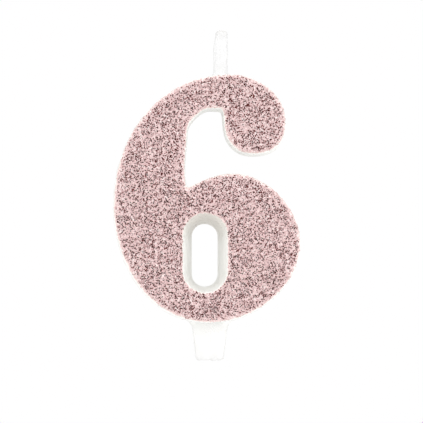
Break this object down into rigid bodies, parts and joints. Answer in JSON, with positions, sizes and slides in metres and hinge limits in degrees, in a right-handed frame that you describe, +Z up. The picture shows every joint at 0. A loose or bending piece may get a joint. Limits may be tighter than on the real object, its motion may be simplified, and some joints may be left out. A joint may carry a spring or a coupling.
{
  "type": "number candle",
  "caption": "Moulded white wax number candle shaped as a six, with rose-gold glitter on its front, a waxed cotton wick on top and a tapered wax peg below.",
  "frame": {"origin": "middle of the peg's flat foot", "axes": "+Z up along the figure's height, -Y out of the glitter face, +X to the figure's right as it is read"},
  "size_m": [0.0541, 0.0133, 0.0949],
  "materials": {
    "white_wax": "moulded paraffin wax, satin",
    "wick_wax": "dipped paraffin wax, satin",
    "cotton_wick": "plied undyed cotton",
    "glitter_varnish": "clear varnish",
    "rose_gold_glitter": "loose polyester glitter, sparkling"
  },
  "bodies": {
    "root": {"wax_body": "white_wax", "wick_wax_coat": "wick_wax", "wick_strand_1": "cotton_wick", "wick_strand_2": "cotton_wick", "wick_strand_3": "cotton_wick", "glue_film": "glitter_varnish", "glitter_coat": "rose_gold_glitter"}
  },
  "joints": []
}
